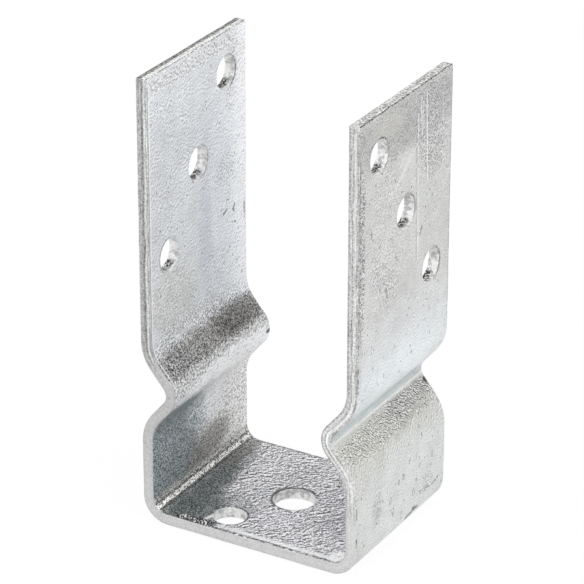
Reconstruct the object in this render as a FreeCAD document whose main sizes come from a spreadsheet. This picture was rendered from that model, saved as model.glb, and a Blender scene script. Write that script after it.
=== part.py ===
"""U bracket: one strip of steel, punched, crimped across both legs and folded into a U.

The frame stands on the bracket's underside: X runs from leg to leg, Y along the strip's width, Z up.
The bracket turned half a turn about Z is the same bracket, so each leg's holes are the other's, turned.
"""
import FreeCAD
import Part
import math
import os
import Sketcher

NODE = "u_bracket"

# Driving sizes in millimetres, and degrees for the crimp's angle.
SIZES = [
    ("clear_width", 71, "between the legs' inner faces, where the post stands"),
    ("strip_width", 60, "width of the flat bar, along Y"),
    ("thickness", 4, "thickness of the flat bar"),
    ("overall_height", 155, "underside to the legs' cut ends"),
    ("fold_radius", 5, "inside radius of the two bottom folds"),
    ("crimp_height", 47, "underside to the crimp's nose"),
    ("crimp_depth", 9, "how far the nose stands in from the leg"),
    ("crimp_angle", 40, "slope of the crimp's flanks against the leg"),
    ("nose_radius", 4, "hollow side of the crimp's nose"),
    ("shoulder_radius", 12, "hollow side of the crimp's shoulders"),
    ("leg_hole_diameter", 11, "screw holes in the legs"),
    ("leg_hole_from_top", 14, "cut end to the top hole's centre"),
    ("leg_hole_pitch", 25, "rise from one leg hole to the next"),
    ("leg_hole_sidestep", 17.5, "top and bottom leg holes off the leg's middle"),
    ("anchor_hole_diameter", 14, "bolt hole in the middle of the base"),
    ("base_hole_diameter", 11, "the two screw holes in the base"),
    ("base_hole_across", 12.5, "base screw holes from the middle, along X"),
    ("base_hole_along", 20, "base screw holes from the middle, along Y"),
    ("edge_radius", 0.6, "rounding of the bar's edges and cut ends"),
    ("rim_bevel", 0.4, "broken rim that the punch and the zinc leave at each hole"),
]


def make_sheet(document):
    """Spreadsheet of the driving sizes, one aliased cell each."""
    sheet = document.addObject("Spreadsheet::Sheet", "Sizes")
    for row, (alias, value, note) in enumerate(SIZES, start=1):
        sheet.set(f"A{row}", alias.replace("_", " "))
        sheet.set(f"B{row}", str(value))
        sheet.setAlias(f"B{row}", alias)
        sheet.set(f"C{row}", note)
    document.recompute()
    return sheet


def origin_feature(body, role):
    """A plane or axis of the body's own origin."""
    return next(item for item in body.Origin.OriginFeatures if item.Role == role)


def plane_sketch(body, name, role):
    """An empty sketch on one of the body's origin planes."""
    sketch = body.newObject("Sketcher::SketchObject", name)
    sketch.AttachmentSupport = [(origin_feature(body, role), "")]
    sketch.MapMode = "FlatFace"
    return sketch


def dimension(sketch, name, constraint, expression):
    """A named constraint whose value follows the sheet."""
    index = sketch.addConstraint(constraint)
    sketch.renameConstraint(index, name)
    sketch.setExpression(f"Constraints.{name}", expression)


def draw_half_strip(sketch, sheet):
    """Closed outline of the folded strip for X above zero: base, fold, crimp and leg.

    Every bend is a pair of concentric arcs, so the two faces stay one thickness apart all the way.
    """
    thick = sheet.thickness
    inner_face = sheet.clear_width / 2
    outer_face = inner_face + thick
    slope = math.radians(sheet.crimp_angle)
    inward_run = sheet.shoulder_radius + thick + sheet.nose_radius
    half_rise = (inward_run * (1 - math.cos(slope)) + sheet.crimp_depth * math.cos(slope)) / math.sin(slope)
    right_angle = math.pi / 2

    fold = FreeCAD.Vector(inner_face - sheet.fold_radius, thick + sheet.fold_radius)
    nose = FreeCAD.Vector(outer_face - sheet.crimp_depth + sheet.nose_radius, sheet.crimp_height)
    shoulder_x = inner_face - sheet.shoulder_radius
    lower_shoulder = FreeCAD.Vector(shoulder_x, sheet.crimp_height - half_rise)
    upper_shoulder = FreeCAD.Vector(shoulder_x, sheet.crimp_height + half_rise)

    def on_arc(centre, radius, angle):
        return centre + FreeCAD.Vector(math.cos(angle), math.sin(angle)) * radius

    def line(start, end):
        return sketch.addGeometry(Part.LineSegment(start, end))

    def arc(centre, radius, start_angle, end_angle):
        circle = Part.Circle(centre, FreeCAD.Vector(0, 0, 1), radius)
        return sketch.addGeometry(Part.ArcOfCircle(circle, start_angle, end_angle))

    def face(offset, fold_size, shoulder_size, nose_size):
        """One face of the strip from the middle of the base to the leg's end."""
        x_face = inner_face + offset
        low, high = FreeCAD.Vector(0, thick - offset), FreeCAD.Vector(x_face, sheet.overall_height)
        return {
            "base": line(low, on_arc(fold, fold_size, -right_angle)),
            "fold": arc(fold, fold_size, -right_angle, 0),
            "lower leg": line(on_arc(fold, fold_size, 0), on_arc(lower_shoulder, shoulder_size, 0)),
            "lower shoulder": arc(lower_shoulder, shoulder_size, 0, slope),
            "lower flank": line(on_arc(lower_shoulder, shoulder_size, slope),
                                on_arc(nose, nose_size, math.pi + slope)),
            "nose": arc(nose, nose_size, math.pi - slope, math.pi + slope),
            "upper flank": line(on_arc(nose, nose_size, math.pi - slope),
                                on_arc(upper_shoulder, shoulder_size, -slope)),
            "upper shoulder": arc(upper_shoulder, shoulder_size, -slope, 0),
            "leg": line(on_arc(upper_shoulder, shoulder_size, 0), high),
        }

    outside = face(thick, sheet.fold_radius + thick, sheet.shoulder_radius + thick, sheet.nose_radius)
    inside = face(0, sheet.fold_radius, sheet.shoulder_radius, sheet.nose_radius + thick)
    cut_end = line(FreeCAD.Vector(outer_face, sheet.overall_height), FreeCAD.Vector(inner_face, sheet.overall_height))
    middle = line(FreeCAD.Vector(0, thick), FreeCAD.Vector(0, 0))

    start, end, centre, origin, upright_axis = 1, 2, 3, -1, -2
    joins = [
        ("base", end, "fold", start), ("fold", end, "lower leg", start),
        ("lower leg", end, "lower shoulder", start), ("lower shoulder", end, "lower flank", start),
        ("lower flank", end, "nose", end), ("nose", start, "upper flank", start),
        ("upper flank", end, "upper shoulder", start), ("upper shoulder", end, "leg", start),
    ]
    for side in (outside, inside):
        for first, first_end, second, second_end in joins:
            sketch.addConstraint(Sketcher.Constraint("Tangent", side[first], first_end, side[second], second_end))
        sketch.addConstraint(Sketcher.Constraint("Horizontal", side["base"]))
        sketch.addConstraint(Sketcher.Constraint("Vertical", side["leg"]))
    for bend in ("fold", "lower shoulder", "nose", "upper shoulder"):
        sketch.addConstraint(Sketcher.Constraint("Coincident", outside[bend], centre, inside[bend], centre))
    corners = [
        (outside["leg"], end, cut_end, start), (cut_end, end, inside["leg"], end),
        (inside["base"], start, middle, start), (middle, end, outside["base"], start),
        (outside["base"], start, origin, start),
    ]
    for corner in corners:
        sketch.addConstraint(Sketcher.Constraint("Coincident", *corner))
    sketch.addConstraint(Sketcher.Constraint("Horizontal", cut_end))
    sketch.addConstraint(Sketcher.Constraint("Vertical", outside["lower leg"]))
    sketch.addConstraint(Sketcher.Constraint("PointOnObject", inside["base"], start, upright_axis))

    bends = [
        ("fold", "Sizes.fold_radius", "Sizes.fold_radius + Sizes.thickness"),
        ("lower shoulder", "Sizes.shoulder_radius", "Sizes.shoulder_radius + Sizes.thickness"),
        ("nose", "Sizes.nose_radius + Sizes.thickness", "Sizes.nose_radius"),
        ("upper shoulder", "Sizes.shoulder_radius", "Sizes.shoulder_radius + Sizes.thickness"),
    ]
    for bend, inside_size, outside_size in bends:
        for side, where, expression in ((inside, "Inside", inside_size), (outside, "Outside", outside_size)):
            radius = sketch.Geometry[side[bend]].Radius
            name = where + bend.title().replace(" ", "")
            dimension(sketch, name, Sketcher.Constraint("Radius", side[bend], radius), expression)

    dimension(sketch, "HalfClearWidth",
              Sketcher.Constraint("DistanceX", origin, start, inside["leg"], start, inner_face),
              "Sizes.clear_width / 2")
    dimension(sketch, "HalfClearWidthBelow",
              Sketcher.Constraint("DistanceX", origin, start, inside["lower leg"], end, inner_face),
              "Sizes.clear_width / 2")
    dimension(sketch, "Height",
              Sketcher.Constraint("DistanceY", origin, start, outside["leg"], end, sheet.overall_height),
              "Sizes.overall_height")
    dimension(sketch, "NoseHeight",
              Sketcher.Constraint("DistanceY", origin, start, outside["nose"], centre, nose.y),
              "Sizes.crimp_height")
    dimension(sketch, "NoseAcross",
              Sketcher.Constraint("DistanceX", origin, start, outside["nose"], centre, nose.x),
              "Sizes.clear_width / 2 + Sizes.thickness - Sizes.crimp_depth + Sizes.nose_radius")
    dimension(sketch, "LowerFlankAngle",
              Sketcher.Constraint("Angle", outside["lower flank"], right_angle + slope),
              "90 deg + Sizes.crimp_angle * 1 deg")
    dimension(sketch, "UpperFlankAngle",
              Sketcher.Constraint("Angle", outside["upper flank"], right_angle - slope),
              "90 deg - Sizes.crimp_angle * 1 deg")


def draw_hole(sketch, name, place, diameter, across, along):
    """A circle at its place, with its diameter and both its distances from the origin bound to the sheet.

    across and along are expressions for the distances' sizes; a place on the upright axis has across None.
    """
    start, centre, origin, upright_axis = 1, 3, -1, -2
    circle = Part.Circle(FreeCAD.Vector(*place), FreeCAD.Vector(0, 0, 1), diameter[0] / 2)
    index = sketch.addGeometry(circle)
    dimension(sketch, name + "Diameter", Sketcher.Constraint("Diameter", index, diameter[0]), diameter[1])
    for axis, distance, expression in (("DistanceX", place[0], across), ("DistanceY", place[1], along)):
        if expression is None:
            sketch.addConstraint(Sketcher.Constraint("PointOnObject", index, centre, upright_axis))
            continue
        ends = (origin, start, index, centre) if distance > 0 else (index, centre, origin, start)
        dimension(sketch, name + axis, Sketcher.Constraint(axis, *ends, abs(distance)), expression)


def punch(body, name, sketch, upwards):
    """Holes of a sketch through everything on one side of its plane, checked by the volume that they take."""
    before = body.Shape.Volume
    pocket = body.newObject("PartDesign::Pocket", name)
    pocket.Profile = sketch
    pocket.Type = "ThroughAll"
    pocket.Reversed = upwards
    sketch.Document.recompute()
    if not body.Shape.Volume < before:
        raise RuntimeError(f"{name} cuts nothing")
    return pocket


def half_turn(body, name, feature):
    """The same feature again, half a turn about the upright axis."""
    pattern = body.newObject("PartDesign::PolarPattern", name)
    pattern.Originals = [feature]
    pattern.Axis = (origin_feature(body, "Z_Axis"), [""])
    pattern.Angle = 360
    pattern.Occurrences = 2
    body.Tip = pattern
    body.Document.recompute()
    return pattern


def dress_edges(body, name, kind, edges, size_property, alias):
    """Fillet or chamfer on the tip's numbered edges, its size bound to the sheet."""
    dressed = body.Tip
    feature = body.newObject(f"PartDesign::{kind}", name)
    feature.Base = (dressed, [f"Edge{number}" for number in edges])
    feature.setExpression(size_property, f"Sizes.{alias}")
    body.Tip = feature
    body.Document.recompute()
    return feature


def bar_edges(shape, sheet):
    """Numbers of the edges that bound the strip's two long sides and its cut ends."""
    side = sheet.strip_width / 2
    top = sheet.overall_height
    near = 1e-4
    found = []
    for number, edge in enumerate(shape.Edges, start=1):
        box = edge.BoundBox
        on_side = min(abs(abs(box.YMin) - side), abs(abs(box.YMax) - side)) < near and box.YLength < near
        on_top = abs(box.ZMin - top) < near and box.ZLength < near
        if on_side or on_top:
            found.append(number)
    return found


def hole_rims(shape):
    """Numbers of the full circles, which are the rims of the punched holes."""
    found = []
    for number, edge in enumerate(shape.Edges, start=1):
        if isinstance(edge.Curve, Part.Circle) and edge.isClosed():
            found.append(number)
    return found


def make_bracket(document, sheet):
    """The bracket: half the strip padded and mirrored, then the holes, then the rounded edges."""
    body = document.addObject("PartDesign::Body", "UBracket")
    body.Label = NODE

    profile = plane_sketch(body, "HalfStripProfile", "XZ_Plane")
    draw_half_strip(profile, sheet)
    document.recompute()
    strip = body.newObject("PartDesign::Pad", "HalfStrip")
    strip.Profile = profile
    strip.SideType = "Symmetric"
    strip.setExpression("Length", "Sizes.strip_width")
    document.recompute()

    whole = body.newObject("PartDesign::Mirrored", "WholeStrip")
    whole.Originals = [strip]
    whole.MirrorPlane = (origin_feature(body, "YZ_Plane"), [""])
    whole.Refine = True
    body.Tip = whole
    document.recompute()

    leg_holes = plane_sketch(body, "LegHoleCentres", "YZ_Plane")
    hole = (sheet.leg_hole_diameter, "Sizes.leg_hole_diameter")
    top = sheet.overall_height - sheet.leg_hole_from_top
    rows = [("Top", sheet.leg_hole_sidestep, "Sizes.leg_hole_sidestep"),
            ("Middle", 0, None),
            ("Bottom", -sheet.leg_hole_sidestep, "Sizes.leg_hole_sidestep")]
    for step, (name, sidestep, across) in enumerate(rows):
        place = (sidestep, top - step * sheet.leg_hole_pitch)
        height = f"Sizes.overall_height - Sizes.leg_hole_from_top - {step} * Sizes.leg_hole_pitch"
        draw_hole(leg_holes, name, place, hole, across, height)
    document.recompute()
    half_turn(body, "LegHolesBothLegs", punch(body, "LegHoles", leg_holes, upwards=False))

    anchor = plane_sketch(body, "AnchorHoleCentre", "XY_Plane")
    circle = anchor.addGeometry(Part.Circle(FreeCAD.Vector(), FreeCAD.Vector(0, 0, 1), sheet.anchor_hole_diameter / 2))
    anchor.addConstraint(Sketcher.Constraint("Coincident", circle, 3, -1, 1))
    dimension(anchor, "AnchorDiameter", Sketcher.Constraint("Diameter", circle, sheet.anchor_hole_diameter),
              "Sizes.anchor_hole_diameter")
    document.recompute()
    punch(body, "AnchorHole", anchor, upwards=True)

    base_hole = plane_sketch(body, "BaseHoleCentre", "XY_Plane")
    draw_hole(base_hole, "Base", (-sheet.base_hole_across, -sheet.base_hole_along),
              (sheet.base_hole_diameter, "Sizes.base_hole_diameter"),
              "Sizes.base_hole_across", "Sizes.base_hole_along")
    document.recompute()
    half_turn(body, "BaseHoles", punch(body, "BaseHole", base_hole, upwards=True))

    dress_edges(body, "HoleRims", "Chamfer", hole_rims(body.Shape), "Size", "rim_bevel")
    dress_edges(body, "BarEdges", "Fillet", bar_edges(body.Shape, sheet), "Radius", "edge_radius")
    return body


def check(document, body):
    """Stops on a failed object, a loose sketch or a bad solid."""
    for item in document.Objects:
        if "Invalid" in item.State or "Error" in item.State:
            raise RuntimeError(f"{item.Name} failed: {item.State}")
        if item.TypeId == "Sketcher::SketchObject" and not item.FullyConstrained:
            raise RuntimeError(f"{item.Name} isn't fully constrained")
    shape = body.Shape
    if shape.isNull() or not shape.isValid() or len(shape.Solids) != 1:
        raise RuntimeError(f"{body.Label} isn't one sound solid")


def main():
    """Builds the document and writes the bracket."""
    document = FreeCAD.newDocument("UBracket")
    sheet = make_sheet(document)
    bracket = make_bracket(document, sheet)
    check(document, bracket)
    os.makedirs("parts", exist_ok=True)
    bracket.Shape.exportStep(f"parts/{NODE}.step")
    box = bracket.Shape.optimalBoundingBox()
    print(f"{NODE}: {box.XLength:.2f} x {box.YLength:.2f} x {box.ZLength:.2f} mm, "
          f"{bracket.Shape.Volume:.1f} cubic mm, {len(bracket.Shape.Faces)} faces")


main()
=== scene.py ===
"""Looks of a galvanised U-shaped post bracket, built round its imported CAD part.

One strip of flat steel is laid, folded, crimped, punched and edge-broken with Blender's own
modelling operators, and stands for the CAD solid. Every point of it keeps its place on the
unrolled strip, so the zinc, the shear marks and the scratches follow the steel round its bends.
"""

import logging
import math
from dataclasses import dataclass, field
from enum import Enum
from typing import Callable, Optional, Sequence, Union

import bmesh
import bpy
from mathutils import Matrix, Vector


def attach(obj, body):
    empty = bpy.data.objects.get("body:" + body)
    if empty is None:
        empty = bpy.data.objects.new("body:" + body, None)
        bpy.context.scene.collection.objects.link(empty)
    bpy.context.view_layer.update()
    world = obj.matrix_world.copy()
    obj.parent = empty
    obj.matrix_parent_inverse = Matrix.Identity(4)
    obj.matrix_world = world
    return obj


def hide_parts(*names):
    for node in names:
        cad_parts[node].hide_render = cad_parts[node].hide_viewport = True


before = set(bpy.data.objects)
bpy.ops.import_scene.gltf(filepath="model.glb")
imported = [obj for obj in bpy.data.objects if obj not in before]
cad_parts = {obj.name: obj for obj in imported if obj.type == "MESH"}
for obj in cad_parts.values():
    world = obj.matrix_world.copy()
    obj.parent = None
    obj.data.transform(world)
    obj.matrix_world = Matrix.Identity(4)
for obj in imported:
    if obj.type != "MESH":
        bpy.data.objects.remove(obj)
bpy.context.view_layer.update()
LOG = logging.getLogger("bracket")

# Metres in a millimetre, and the attribute that keeps each point's place on the strip
MM = 0.001
PLACE = "strip_place"
# How far from the strip's middle plane, in millimetres, a point of a run, a point of the leg or
# base round a hole, and a face of the hole's own wall may be
RUN_DEPTH, WALL_DEPTH, HOLE_DEPTH = 2.02, 2.1, 1.85
# How far in from their sharp lines the strip's rounded edges and the holes' broken rims reach
EDGE_REACH, RIM_REACH = 0.7, 0.42
# Nothing of the legs' holes is as low as this, in millimetres
BASE_LEVEL = 5.0
# How close counts as touching, in millimetres, and as the same point, in metres
TOUCH, WELD = 0.01, 1e-6
# How far a face has to lean towards a cut edge to be part of it, as a share of its normal
CUT_LEAN = 0.45
# A leg's place along the strip is its height plus this, in millimetres
LEG_OFFSET = 37.85
# Half the width of a patch that reaches past both edges of the strip, in millimetres
PAST_EDGES = 36
# Places on the strip seen flat, without their depth
FLAT = (1, 1, 0)
ORIGIN = (0, 0, 0)

Colour = tuple[float, float, float]
Bands = tuple[tuple[float, float], ...]
Socket = bpy.types.NodeSocket
Value = Union[Socket, float, Sequence[float]]


class Leg(Enum):
    """The two legs of the bracket, with the sign of their X."""

    LEFT = -1
    RIGHT = 1


class Skin(Enum):
    """The two broad faces of the strip, with the sign of their depth."""

    INNER = 1
    OUTER = -1


class Zone(Enum):
    """A stretch of one skin with a material of its own, so each tree stays small: skin, start, end."""

    LEFT_LEG = (Skin.INNER, -200.0, -97.0)
    LEFT_CRIMP = (Skin.INNER, -97.0, -42.0)
    BASE_TOP = (Skin.INNER, -42.0, 42.0)
    RIGHT_INSIDE = (Skin.INNER, 42.0, 200.0)
    RIGHT_LEG = (Skin.OUTER, 97.0, 200.0)
    RIGHT_CRIMP = (Skin.OUTER, 41.0, 97.0)
    FAR_OUTSIDE = (Skin.OUTER, -200.0, 41.0)

    def meets(self, along: float, reach: float) -> bool:
        """Says whether something at a place along the strip comes into the zone."""
        return self.value[1] - reach < along < self.value[2] + reach


class Cut(Enum):
    """How an edge of the strip was cut."""

    SHEARED_SIDE = "sheared_side"
    CROPPED_TOP = "cropped_top"


# Selecting and editing, as by hand

def select_only(piece: Optional[bpy.types.Object]) -> None:
    """Deselects everything, then selects one object and makes it active.

    Args:
        piece: the object to work on, or None to leave all deselected.
    """
    if bpy.context.object and bpy.context.object.mode != "OBJECT":
        bpy.ops.object.mode_set(mode="OBJECT")
    bpy.ops.object.select_all(action="DESELECT")
    if piece is not None:
        piece.select_set(True)
        bpy.context.view_layer.objects.active = piece


def edit(piece: bpy.types.Object, element: str = "EDGE") -> None:
    """Opens an object in edit mode with nothing selected.

    Args:
        piece: the mesh object.
        element: VERT, EDGE or FACE, what is going to be selected.
    """
    select_only(piece)
    bpy.ops.object.mode_set(mode="EDIT")
    bpy.ops.mesh.select_mode(type=element)
    bpy.ops.mesh.select_all(action="DESELECT")


def pick(piece: bpy.types.Object, kind: str, test: Callable[..., bool], extend: bool = False) -> int:
    """Selects the vertices, edges or faces that pass a test, in edit mode.

    Args:
        piece: the mesh object, which is in edit mode.
        kind: verts, edges or faces.
        test: gets one bmesh element and says whether it is wanted.
        extend: keeps what is selected already.

    Returns:
        How many elements the test found.
    """
    if not extend:
        bpy.ops.mesh.select_all(action="DESELECT")
    shell = bmesh.from_edit_mesh(piece.data)
    found = [e for e in getattr(shell, kind) if test(e)]
    for e in found:
        e.select_set(True)
    bmesh.update_edit_mesh(piece.data)
    return len(found)


def apply_modifier(piece: bpy.types.Object, kind: str, **settings: object) -> None:
    """Adds a modifier of a kind to an object, with its settings, and applies it."""
    select_only(piece)
    modifier = piece.modifiers.new(kind.lower(), kind)
    for name, value in settings.items():
        setattr(modifier, name, value)
    bpy.ops.object.modifier_apply(modifier=modifier.name)


# The strip's route, from the middle of the base to the top of a leg

@dataclass(frozen=True)
class Run:
    """One straight or bent stretch of the strip's middle line, for the right leg, in millimetres."""

    x: float
    z: float
    heading: float
    start: float
    length: float
    rows: tuple[float, ...]
    radius: float = 0.0
    turn: float = 0.0

    def centre(self) -> tuple[float, float]:
        """Gives the bend's centre, which is on the left of the route for a left turn."""
        side = self.heading + math.copysign(math.pi / 2, self.turn)
        return self.x + self.radius * math.cos(side), self.z + self.radius * math.sin(side)

    def end(self) -> tuple[float, float, float]:
        """Gives where the run ends and its heading there."""
        if not self.radius:
            return (self.x + self.length * math.cos(self.heading),
                    self.z + self.length * math.sin(self.heading), self.heading)
        cx, cz = self.centre()
        c, s = math.cos(self.turn), math.sin(self.turn)
        dx, dz = self.x - cx, self.z - cz
        return cx + c * dx - s * dz, cz + s * dx + c * dz, self.heading + self.turn

    def place(self, x: float, z: float) -> tuple[float, float, float]:
        """Finds a point on the run.

        Args:
            x: the point's X, in millimetres.
            z: its Z.

        Returns:
            How far along the strip it is, its depth towards the inner face, and how badly it fits.
        """
        if self.radius:
            cx, cz = self.centre()
            sign = math.copysign(1.0, self.turn)
            a = math.atan2(z - cz, x - cx) - math.atan2(self.z - cz, self.x - cx)
            a = (a + math.pi) % (2 * math.pi) - math.pi
            along = sign * a * self.radius
            depth = sign * (self.radius - math.hypot(x - cx, z - cz))
        else:
            c, s = math.cos(self.heading), math.sin(self.heading)
            dx, dz = x - self.x, z - self.z
            along, depth = c * dx + s * dz, c * dz - s * dx
        over = max(0.0, -along, along - self.length)
        return self.start + along, depth, over + max(0.0, abs(depth) - RUN_DEPTH)


@dataclass(frozen=True)
class StripSizes:
    """The CAD's sizes, and those of the mesh and its wear, in millimetres and degrees."""

    width: float = 60.0
    thickness: float = 4.0
    height: float = 155.0
    clear_width: float = 71.0
    fold_radius: float = 5.0
    crimp_height: float = 47.0
    crimp_depth: float = 9.0
    crimp_angle: float = 40.0
    nose_radius: float = 4.0
    shoulder_radius: float = 12.0
    edge_radius: float = 0.6
    rim_break: float = 0.4
    cell: float = 1.25
    top_row: float = 1.5
    sharp_angle: float = 60.0
    smooth_angle: float = 40.0
    dent_width: float = 9.0
    dent_depth: float = 0.16
    lump_sink: float = 0.05
    lump_rough: float = 0.16
    lump_shape: tuple[float, float, float] = (1.1, 0.85, 0.75)

    def route(self) -> list[Run]:
        """Works out the strip's middle line, from the base's middle up the right leg."""
        t, a, half = self.thickness, math.radians(self.crimp_angle), self.width / 2
        reach = self.shoulder_radius + t + self.nose_radius
        rise = (reach * (1 - math.cos(a)) + self.crimp_depth * math.cos(a)) / math.sin(a)
        flank = (rise - reach * math.sin(a)) / math.cos(a)
        flat = self.clear_width / 2 - self.fold_radius
        low = self.crimp_height - rise - t - self.fold_radius
        high = self.height - self.crimp_height - rise
        first = (high - self.top_row) % self.cell
        cells = round((high - first - self.top_row) / self.cell)
        shoulder = (self.shoulder_radius + t / 2, self.crimp_angle, (9,))
        # Each step: its length or its radius, its turn in degrees, and its rows of cells or how many
        steps = [
            (flat, 0.0, (half, flat - half)),
            (self.fold_radius + t / 2, 90.0, (16,)),
            (low, 0.0, (16,)),
            shoulder,
            (flank, 0.0, (5,)),
            (self.nose_radius + t / 2, -2 * self.crimp_angle, (16,)),
            (flank, 0.0, (5,)),
            shoulder,
            (high, 0.0, (first, *[self.cell] * cells, self.top_row)),
        ]
        x, z, heading, start, runs = 0.0, t / 2, 0.0, 0.0, []
        for size, turn, rows in steps:
            length = abs(math.radians(turn)) * size if turn else size
            many = rows if len(rows) > 1 else tuple([length / rows[0]] * int(rows[0]))
            radius = size if turn else 0.0
            runs.append(Run(x, z, heading, start, length, many, radius, math.radians(turn)))
            x, z, heading = runs[-1].end()
            start += length
        return runs


@dataclass(frozen=True)
class Hole:
    """A punched hole: its centre in the strip's middle plane, its radius and its square of cells."""

    x: float
    y: float
    z: float
    radius: float
    half_square: float

    @property
    def flat(self) -> bool:
        """Says whether the hole goes through the base."""
        return self.z < BASE_LEVEL

    def offset(self, point: Sequence[float]) -> tuple[float, float]:
        """Gives a point's place across the hole, in millimetres, from its centre."""
        if self.flat:
            return point[0] / MM - self.x, point[1] / MM - self.y
        return point[1] / MM - self.y, point[2] / MM - self.z

    def near(self, point: Sequence[float], reach: float) -> bool:
        """Says whether a point lies on the hole's wall of the strip and within reach of its axis."""
        level = point[2] / MM - self.z if self.flat else point[0] / MM - self.x
        return abs(level) < WALL_DEPTH and math.hypot(*self.offset(point)) < reach


@dataclass(frozen=True)
class Lump:
    """A lump of dross that set on the base's front edge: its place on the strip and its radius."""

    across: float
    along: float
    radius: float


@dataclass
class FormedStrip:
    """The whole bracket: one strip with two folds, two crimps and nine holes."""

    sizes: StripSizes = field(default_factory=StripSizes)
    leg_holes: tuple[tuple[float, float], ...] = ((17.5, 141.0), (0.0, 116.0), (-17.5, 91.0))
    leg_hole_radius: float = 5.5
    leg_half_square: float = 7.5
    base_holes: tuple[tuple[float, float, float, float], ...] = (
        (0.0, 0.0, 7.0, 10.0), (-12.5, -20.0, 5.5, 7.5), (12.5, 20.0, 5.5, 7.5))
    lumps: tuple[Lump, ...] = (
        Lump(-28.9, -26.6, 0.8), Lump(-28.3, -25.1, 1.4), Lump(-28.7, -23.2, 1.0), Lump(-28.5, -21.6, 1.25),
        Lump(-27.9, -18.9, 1.8), Lump(-28.3, -17.0, 1.3), Lump(-27.0, -16.0, 0.9), Lump(-28.7, -20.2, 1.0),
        Lump(-27.0, -24.2, 0.6), Lump(-26.4, -19.6, 0.8), Lump(-26.9, -22.4, 0.5),
    )
    piece: Optional[bpy.types.Object] = None

    def holes(self) -> list[Hole]:
        """Lists the holes: three in each leg, on slopes that cross, and three in the base."""
        mid = (self.sizes.clear_width + self.sizes.thickness) / 2
        found = [Hole(leg.value * mid, -leg.value * y, z, self.leg_hole_radius, self.leg_half_square)
                 for leg in Leg for y, z in self.leg_holes]
        return found + [Hole(x, y, self.sizes.thickness / 2, r, half) for x, y, r, half in self.base_holes]

    def lay_base(self) -> None:
        """Lays the base's middle plane as a square grid of cells."""
        cells = round(self.sizes.width / self.sizes.cell)
        select_only(None)
        bpy.ops.mesh.primitive_grid_add(
            x_subdivisions=cells, y_subdivisions=cells, size=self.sizes.width * MM,
            location=(0, 0, self.sizes.thickness / 2 * MM))
        self.piece = bpy.context.object
        self.piece.name = self.piece.data.name = "formed_strip"
        bpy.ops.object.transform_apply(location=True, rotation=True, scale=True)

    def raise_leg(self, leg: Leg) -> None:
        """Extrudes and spins one end of the base along the route, up to the leg's top."""
        side, half = leg.value, self.sizes.width / 2
        edit(self.piece)
        pick(self.piece, "edges", lambda e: all(abs(v.co.x - side * half * MM) < WELD for v in e.verts))
        for number, run in enumerate(self.sizes.route()):
            if run.radius:
                cx, cz = run.centre()
                bpy.ops.mesh.spin(steps=len(run.rows), angle=run.turn, dupli=False,
                                  center=(side * cx * MM, 0, cz * MM), axis=(0, side, 0))
                continue
            for row in run.rows[1:] if number == 0 else run.rows:
                move = (side * row * math.cos(run.heading) * MM, 0, row * math.sin(run.heading) * MM)
                bpy.ops.mesh.extrude_edges_move(TRANSFORM_OT_translate={"value": move})
        bpy.ops.object.mode_set(mode="OBJECT")

    def open_hole(self, hole: Hole) -> None:
        """Cuts a square of cells out, bridges it to a circle laid off the sheet, and presses that flat."""
        half = hole.half_square
        edit(self.piece, "FACE")

        def inside(point: Vector, reach: float) -> bool:
            return hole.near(point, 2 * reach) and max(map(abs, hole.offset(point))) < reach

        pick(self.piece, "faces", lambda f: inside(f.calc_center_median(), half))
        bpy.ops.mesh.delete(type="FACE")
        bpy.ops.mesh.select_mode(type="EDGE")
        turn, lift, flat = (0, 0, 0), (0, 0, 3), (1, 1, 0)
        if not hole.flat:
            turn, lift, flat = (math.pi / 2, 0, math.pi / 2), (3, 0, 0), (0, 1, 1)
        centre = Vector((hole.x, hole.y, hole.z)) * MM
        bpy.ops.mesh.primitive_circle_add(
            vertices=round(8 * half / self.sizes.cell), radius=hole.radius * MM, fill_type="NOTHING",
            location=centre + Vector(lift) * MM, rotation=turn)
        pick(self.piece, "edges",
             lambda e: e.is_boundary and all(inside(v.co, half + TOUCH) for v in e.verts), extend=True)
        bpy.ops.mesh.bridge_edge_loops(type="SINGLE", number_cuts=2, interpolation="LINEAR")
        bpy.ops.transform.resize(value=flat, center_override=centre)
        bpy.ops.object.mode_set(mode="OBJECT")

    def thicken(self) -> None:
        """Merges doubles, points the sheet one way and gives it the plate's thickness."""
        edit(self.piece, "VERT")
        bpy.ops.mesh.select_all(action="SELECT")
        bpy.ops.mesh.remove_doubles(threshold=WELD)
        bpy.ops.mesh.normals_make_consistent(inside=False)
        bpy.ops.object.mode_set(mode="OBJECT")
        apply_modifier(self.piece, "SOLIDIFY", thickness=self.sizes.thickness * MM, offset=0.0,
                       use_even_offset=True, use_rim=True)

    def break_edges(self) -> None:
        """Rounds the strip's long and top edges and takes the sharpness off the hole rims."""
        rim, top = (self.sizes.width / 2 - TOUCH) * MM, (self.sizes.height - TOUCH) * MM
        wanted = math.radians(self.sizes.sharp_angle)
        for outer, size, segments in ((True, self.sizes.edge_radius, 3), (False, self.sizes.rim_break, 2)):
            edit(self.piece)

            def sharp(e: bmesh.types.BMEdge) -> bool:
                at_edge = all(abs(v.co.y) > rim for v in e.verts) or all(v.co.z > top for v in e.verts)
                return at_edge == outer and len(e.link_faces) == 2 and e.calc_face_angle(0.0) > wanted

            found = pick(self.piece, "edges", sharp)
            bpy.ops.mesh.bevel(offset=size * MM, segments=segments, affect="EDGES", clamp_overlap=True)
            bpy.ops.object.mode_set(mode="OBJECT")
            LOG.info("%d edges broken at %.1f mm", found, size)

    def wear(self) -> None:
        """Presses shallow dents inwards, as handling and pickling leave them."""
        texture = bpy.data.textures.new("handling_dents", "CLOUDS")
        texture.noise_scale, texture.noise_depth = self.sizes.dent_width * MM, 1
        apply_modifier(self.piece, "DISPLACE", texture=texture, texture_coords="LOCAL",
                       strength=self.sizes.dent_depth * MM, mid_level=1.0)

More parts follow.
